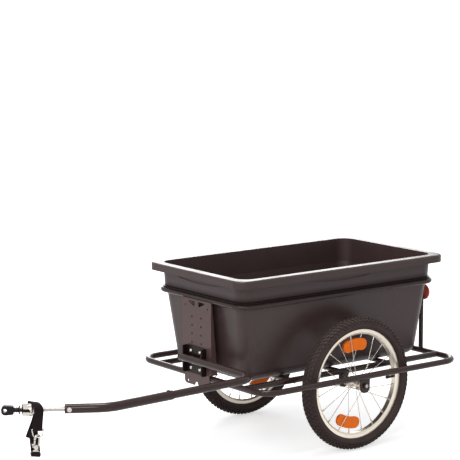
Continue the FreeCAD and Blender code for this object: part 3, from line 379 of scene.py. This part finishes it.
def makeLens(name):
    # a moulded lens with rows of small prisms behind a smooth face
    material, tree, shader = newMaterial(name + "Lens")
    cells = addNode(tree, "ShaderNodeTexVoronoi", feature="F1")
    place = addNode(tree, "ShaderNodeTexCoord").outputs["Object"]
    feed(tree, cells, {"Scale": reflector["cell"], "Randomness": reflector["uneven"], "Vector": place})
    distance = cells.outputs["Distance"]
    # painted glints and shade: each prism cell is lighter at its middle and darker at its rim
    ramp = addNode(tree, "ShaderNodeValToRGB")
    bright, dark = ramp.color_ramp.elements
    bright.color = (*[min(1.0, c * reflector["glintShare"]) for c in reflector[name]], 1)
    dark.color = (*[c * reflector["prismShadeShare"] for c in reflector[name]], 1)
    dark.position = reflector["prismShadeFrom"]
    feed(tree, ramp, {"Fac": distance})
    feed(tree, shader, {
        "Base Color": ramp.outputs["Color"], "Normal": bumpNode(tree, distance, *reflector["prism"]),
        "Roughness": reflector["rough"], "Specular IOR Level": reflector["level"],
        "Coat Weight": reflector["coat"], "Coat Roughness": reflector["coatRough"]})
    return material


webbing = {"color": sRgb(26, 14, 17), "ribPitch": 1.9, "threadPitch": 1.3, "drift": 0.3, "patch": 90.0,
           "shade": 0.45, "shadeShare": 0.5, "weave": (0.8, 0.4 * mm), "rough": 0.85, "level": 0.12,
           "sheen": 0.1}


def makeWebbing():
    # woven ribs that run across the strap, from the UV map laid along it in millimetres
    material, tree, shader = newMaterial("strapWebbing")
    split = addNode(tree, "ShaderNodeSeparateXYZ")
    feed(tree, split, {0: addNode(tree, "ShaderNodeUVMap").outputs["UV"]})
    waves = []
    for axis, pitch in (("X", webbing["ribPitch"]), ("Y", webbing["threadPitch"])):
        turn = mathNode(tree, "MULTIPLY", split.outputs[axis], 2 * math.pi / pitch)
        waves.append(mathNode(tree, "SINE", turn))
    weave = mathNode(tree, "MULTIPLY_ADD", mathNode(tree, "MULTIPLY", *waves), 0.5, 0.5)
    uneven = addGroup(tree, unevenSurface, {
        "Color": (*webbing["color"], 1), "Color Drift": webbing["drift"],
        "Roughness": webbing["rough"], "Patch Scale": webbing["patch"]})
    shade = tuple(share * webbing["shade"] for share in webbing["color"])
    shaded = mathNode(tree, "MULTIPLY", weave, webbing["shadeShare"])
    feed(tree, shader, {
        "Base Color": mixColor(tree, shaded, uneven["Color"], shade), "Roughness": uneven["Roughness"],
        "Normal": bumpNode(tree, weave, *webbing["weave"]), "Sheen Weight": webbing["sheen"],
        "Specular IOR Level": webbing["level"]})
    return material


materials = {name: makeFinish(name) for name in finishes}
materials["amberLens"] = makeLens("amber")
materials["redLens"] = makeLens("red")
materials["strapWebbing"] = makeWebbing()

nodeFinish = {
    "tubPlastic": ["tub"],
    "framePaint": ["lower_loop", "upper_ring", "cross_tubes", "inner_rail_left", "inner_rail_right",
                   "rear_post_left", "rear_post_right", "dropout_outer_left", "dropout_outer_right",
                   "dropout_inner_left", "dropout_inner_right", "drawbar_rear_tube", "drawbar_front_tube"],
    "shadedBracketPaint": ["drawbar_bracket"],
    "platePaint": ["front_plate"],
    "darkSteel": ["left_axle_nuts", "right_axle_nuts"],
    "shaftSteel": ["hitch_shaft", "left_axle", "right_axle"],
    "brightSteel": ["bracket_bolts", "bracket_nuts", "cross_bolt", "cross_nut", "shaft_clip",
                    "pivot_pin", "coupling_housing", "strap_ring", "snap_hook", "hook_gate", "gate_pin",
                    "swivel_eye", "reflector_screws", "left_spokes", "right_spokes", "left_nipples",
                    "right_nipples", "left_axle_cones", "right_axle_cones",
                    "left_bearings", "right_bearings"],
    "blackPlastic": ["leg_end_plug", "drawbar_end_bush", "tow_eye", "rail_pins", "length_screw",
                     "length_nut"],
    "rimAlloy": ["left_rim", "right_rim", "left_hub_shell", "right_hub_shell"],
    "tyreRubber": ["left_tyre", "right_tyre", "left_valve", "right_valve"],
    "amberLens": ["left_wheel_reflectors", "right_wheel_reflectors"],
    "redLens": ["rear_reflectors"],
    "strapWebbing": ["safety_strap"],
}


def dressNodes():
    for finish, names in nodeFinish.items():
        for name in names:
            node = frame["nodes"][name]
            for part in [node] + list(node.children_recursive):
                if part.type != "MESH":
                    continue
                if not part.material_slots:
                    part.data.materials.append(materials[finish])
                for place in part.material_slots:
                    place.material = materials[finish]


dressNodes()
print("stage: finishes on the CAD nodes")


# Tyres with their block tread

tyre = {
    "half": 24.0, "crown": 172.0, "blockHeight": 3.2, "steps": 120, "pitches": 84, "sharpOver": 40.0,
    "slopeSteps": 9, "slopeTurn": 11.25, "swellAfter": 6, "swellOver": 2,
    # a block's height from the tyre's outside and its share of the size, at its root and its top
    "blockRoot": (-4.224, 1.0), "blockTop": (-0.05, 0.84),
    # from the widest place in to the bead, then back along the inside; across and radius
    "wall": [(23.65, 169.2), (22.6, 166.5), (20.87, 164.43), (18.5, 162.7), (16.0, 161.65), (13.3, 161.3),
             (9.8, 161.3), (9.8, 153.0), (5.2, 153.0), (7.2, 161.3), (14.6, 164.6), (20.2, 170.6),
             (19.4, 177.6), (14.6, 184.8), (8.0, 189.6), (0.0, 191.2)],
    # angle round the section, width, length and shift of each row of blocks
    "rows": [(0.0, 7.6, 8.5, 0.0), (22.0, 6.8, 8.0, 0.5), (-22.0, 6.8, 8.0, 0.5), (44.0, 7.2, 8.8, 0.0),
             (-44.0, 7.2, 8.8, 0.0), (66.0, 6.0, 7.4, 0.5), (-66.0, 6.0, 7.4, 0.5)],
}


def wheelPoint(side, across, radius, turn):
    x = radius * math.cos(turn)
    z = radius * math.sin(turn)
    return fromAxle(x, side * trailer["wheelSide"] + across, trailer["axleHeight"] + z)


def tyreSection():
    # half of the casing, from the crown out to the bead and back along the inside
    base = tyre["half"] - tyre["blockHeight"]
    half = []
    for k in range(tyre["slopeSteps"]):
        turn = math.radians(k * tyre["slopeTurn"])
        share = max(0, k - tyre["swellAfter"]) / tyre["swellOver"]
        swell = base + tyre["blockHeight"] * share
        half.append((swell * math.sin(turn), tyre["crown"] + swell * math.cos(turn)))
    return half + tyre["wall"]


def makeTyre(side, name):
    half = tyreSection()
    outline = half + [(-x, r) for x, r in reversed(half[1:-1])]
    rings = []
    for k in range(tyre["steps"]):
        turn = 2 * math.pi * k / tyre["steps"]
        rings.append([wheelPoint(side, across, radius, turn) for across, radius in outline])
    verts, faces = loftRings(rings, closed=True)
    for angle, width, length, shift in tyre["rows"]:
        lean = math.radians(angle)
        for k in range(tyre["pitches"]):
            turn = 2 * math.pi * (k + shift) / tyre["pitches"]
            addBlock(verts, faces, side, lean, width, length, turn)
    rubber = materials["tyreRubber"]
    piece = newPiece(name + "TreadTyre", verts, faces, name + "_wheel", rubber)
    fixNormals(piece)
    piece.data.set_sharp_from_angle(angle=math.radians(tyre["sharpOver"]))
    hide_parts(name + "_tyre")


def addBlock(verts, faces, side, lean, width, length, turn):
    # one rubber block, wider at its root than at its top
    first = len(verts)
    for rise, spread in (tyre["blockRoot"], tyre["blockTop"]):
        reach = tyre["half"] + rise
        for du, dv in ((-1, -1), (1, -1), (1, 1), (-1, 1)):
            section = lean + du * spread * width / 2 / tyre["half"]
            radius = tyre["crown"] + reach * math.cos(section)
            step = dv * spread * length / 2 / radius
            verts.append(wheelPoint(side, reach * math.sin(section), radius, turn + step))
    for quad in ((0, 1, 2, 3), (4, 5, 6, 7), (0, 1, 5, 4), (1, 2, 6, 5), (2, 3, 7, 6), (3, 0, 4, 7)):
        faces.append(tuple(first + k for k in quad))


for side, name in ((1, "left"), (-1, "right")):
    makeTyre(side, name)
print("stage: tyres")


# Safety strap

strap = {  # each row is a place in the hitch's frame and the strap's tilt there
    "width": 25.0, "thickness": 2.1,
    "face": [(1, 0.0), (0.985, 0.7), (0.94, 1), (0.5, 0.92), (0, 0.92), (-0.5, 0.92), (-0.94, 1),
             (-0.985, 0.7)],  # half of the section, in half widths and half thicknesses
    "way": [
        (179.4, 12.5, -50.0, 0), (177.8, 13.4, -32.0, 0), (175.4, 15.0, -12.0, 2), (174.4, 15.6, 0.0, 4),
        (175.2, 13.6, 7.0, 6), (177.6, 8.8, 12.2, 8), (182.4, 1.6, 17.0, 9), (188.4, -6.4, 18.6, 9),
        (192.2, -13.6, 17.0, 9), (192.8, -19.2, 9.8, 10), (187.0, -21.4, -1.0, 13),
        (180.6, -21.2, -14.0, 18), (183.4, -19.6, -32.0, 20), (191.0, -17.0, -52.0, 20),
        (200.0, -15.2, -75.6, 20), (201.2, -14.4, -78.8, 20), (201.8, -12.8, -80.4, 20),
        (201.4, -11.1, -79.0, 20), (200.2, -10.4, -75.8, 20), (196.0, -10.2, -64.0, 20)],
    "fold": [
        (179.6, 6.7, -36.0, 0), (179.6, 6.7, -51.0, 0), (179.6, 7.5, -53.8, 0), (179.6, 9.6, -55.0, 0),
        (179.6, 11.7, -53.8, 0), (179.6, 12.5, -51.0, 0), (179.4, 12.5, -47.0, 0)],
    "tail": [
        (193.0, -7.6, -56.0, 12), (191.6, -7.7, -74.0, 8), (189.4, -6.5, -98.0, 5), (188.4, -4.3, -112.0, 3),
        (188.0, -2.5, -121.0, 3), (187.8, 0.0, -125.4, 3), (187.8, 3.4, -126.0, 3), (187.8, 5.6, -122.0, 3),
        (187.9, 5.6, -114.0, 3)],
    "steps": {"way": 6, "fold": 5, "tail": 6},
}


def strapStrip(rows, steps, verts, faces, uvs):
    # adds one length of webbing that follows the rows, with a UV of its run and its width
    rows = smoothRows(rows, steps)
    hitch = hitchFrame()
    middles = [Vector(row[:3]) for row in rows]
    halfWidth = strap["width"] / 2
    halfThick = strap["thickness"] / 2
    rim = strap["face"] + [(-a, -b) for a, b in strap["face"]]
    rings = []
    run = 0.0
    for i, row in enumerate(rows):
        tilt = math.radians(row[3])
        aside = Vector((math.cos(tilt), 0, math.sin(tilt)))
        ahead = middles[min(i + 1, len(rows) - 1)] - middles[max(i - 1, 0)]
        out = aside.cross(ahead).normalized()
        if i:
            run += (middles[i] - middles[i - 1]).length
        spots = [middles[i] + aside * halfWidth * a + out * halfThick * b for a, b in rim]
        rings.append([hitch @ (spot * mm) for spot in spots])
        uvs += [(run, a * halfWidth) for a, b in rim]
    more, quads = loftRings(rings)
    first = len(verts)
    verts += more
    faces += [tuple(first + k for k in quad) for quad in quads]


def makeStrap():
    verts, faces, uvs = [], [], []
    for part, steps in strap["steps"].items():
        strapStrip(strap[part], steps, verts, faces, uvs)
    cloth = materials["strapWebbing"]
    piece = newPiece("webbingStrap", verts, faces, "strap", cloth)
    layer = piece.data.uv_layers.new(name="strapUv")
    for loop in piece.data.loops:
        layer.data[loop.index].uv = uvs[loop.vertex_index]
    fixNormals(piece)
    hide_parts("safety_strap")


makeStrap()
print("stage: strap")


# Floor, light and camera

floorLook = {"half": 40.0, "color": (0.86, 0.86, 0.86), "rough": 0.9, "level": 0.1, "glow": 0.58,
             "glossyGlow": 0.35}


def makeFloor():
    half = floorLook["half"]
    mesh = bpy.data.meshes.new("floor")
    corners = [(-half, -half, 0), (half, -half, 0), (half, half, 0), (-half, half, 0)]
    mesh.from_pydata(corners, [], [(0, 1, 2, 3)])
    floor = newObject("floor", mesh)
    material, tree, shader = newMaterial("paleFloor")
    path = addNode(tree, "ShaderNodeLightPath").outputs
    mirrored = mathNode(tree, "MAXIMUM", path["Is Glossy Ray"], path["Is Transmission Ray"])
    mirrorGlow = mathNode(tree, "MULTIPLY", mirrored, floorLook["glossyGlow"])
    glow = mathNode(tree, "MULTIPLY_ADD", path["Is Camera Ray"], floorLook["glow"], mirrorGlow)
    feed(tree, shader, {
        "Base Color": (*floorLook["color"], 1), "Roughness": floorLook["rough"],
        "Specular IOR Level": floorLook["level"], "Emission Color": (1, 1, 1, 1), "Emission Strength": glow})
    mesh.materials.append(material)


worldFill = 0.5  # the white world's strength where the camera and mirrors don't see it


def makeWorld():
    world = bpy.data.worlds.new("studio")
    bpy.context.scene.world = world
    world.use_nodes = True
    tree = world.node_tree
    path = addNode(tree, "ShaderNodeLightPath").outputs
    seen = mathNode(tree, "MAXIMUM", path["Is Camera Ray"], path["Is Glossy Ray"])
    seen = mathNode(tree, "MAXIMUM", seen, path["Is Transmission Ray"])
    extra = mathNode(tree, "MULTIPLY", seen, 1 - worldFill)
    strength = mathNode(tree, "ADD", extra, worldFill)
    feed(tree, tree.nodes["Background"], {"Color": (1, 1, 1, 1), "Strength": strength})


lamps = {
    "keyLamp": {"at": (4.2, 1.2, 3.2), "size": 2.6, "power": 80.0},
    "cornerLamp": {"at": (3.1, 3.3, 2.7), "size": 0.8, "power": 30.0},
    "topLamp": {"at": (0.2, 0.1, 3.6), "size": 1.0, "power": 62.0},
    "backLamp": {"at": (-2.6, -3.4, 1.9), "size": 2.2, "power": 60.0},
}
lampAim = (0, 0, 0.3)


def makeLamps():
    for name, lamp in lamps.items():
        data = bpy.data.lights.new(name, "AREA")
        data.shape = "SQUARE"
        data.size = lamp["size"]
        data.energy = lamp["power"]
        piece = newObject(name, data)
        piece.location = lamp["at"]
        aim = Vector(lampAim) - Vector(lamp["at"])
        piece.rotation_euler = aim.to_track_quat("-Z", "Y").to_euler()


cameraFit = {"focal": 1882.78, "frame": 460.0, "middleRow": 255.47, "yaw": 52.95, "pitch": 9.5, "roll": -0.25,
             "at": (3510.95, 4309.25, 1468.8), "sensor": 36.0, "farthest": 100.0}


def makeCamera():
    yaw, pitch, roll = (math.radians(cameraFit[k]) for k in ("yaw", "pitch", "roll"))
    ahead = Vector((-math.cos(pitch) * math.cos(yaw), -math.cos(pitch) * math.sin(yaw), -math.sin(pitch)))
    right = Vector((-math.sin(yaw), math.cos(yaw), 0))
    up = right.cross(ahead)
    tiltedRight = right * math.cos(roll) + up * math.sin(roll)
    tiltedUp = up * math.cos(roll) - right * math.sin(roll)
    data = bpy.data.cameras.new("photoCamera")
    data.sensor_width = cameraFit["sensor"]
    data.lens = cameraFit["focal"] / cameraFit["frame"] * data.sensor_width
    data.shift_y = (cameraFit["middleRow"] - cameraFit["frame"] / 2) / cameraFit["frame"]
    data.clip_end = cameraFit["farthest"]
    camera = newObject("photoCamera", data)
    turn = Matrix((tiltedRight, tiltedUp, -ahead)).transposed().to_4x4()
    camera.matrix_world = Matrix.Translation(fromAxle(*cameraFit["at"])) @ turn
    bpy.context.scene.camera = camera


makeFloor()
makeWorld()
makeLamps()
makeCamera()
bpy.context.scene.view_settings.view_transform = "Standard"
print("stage: floor, light and camera")
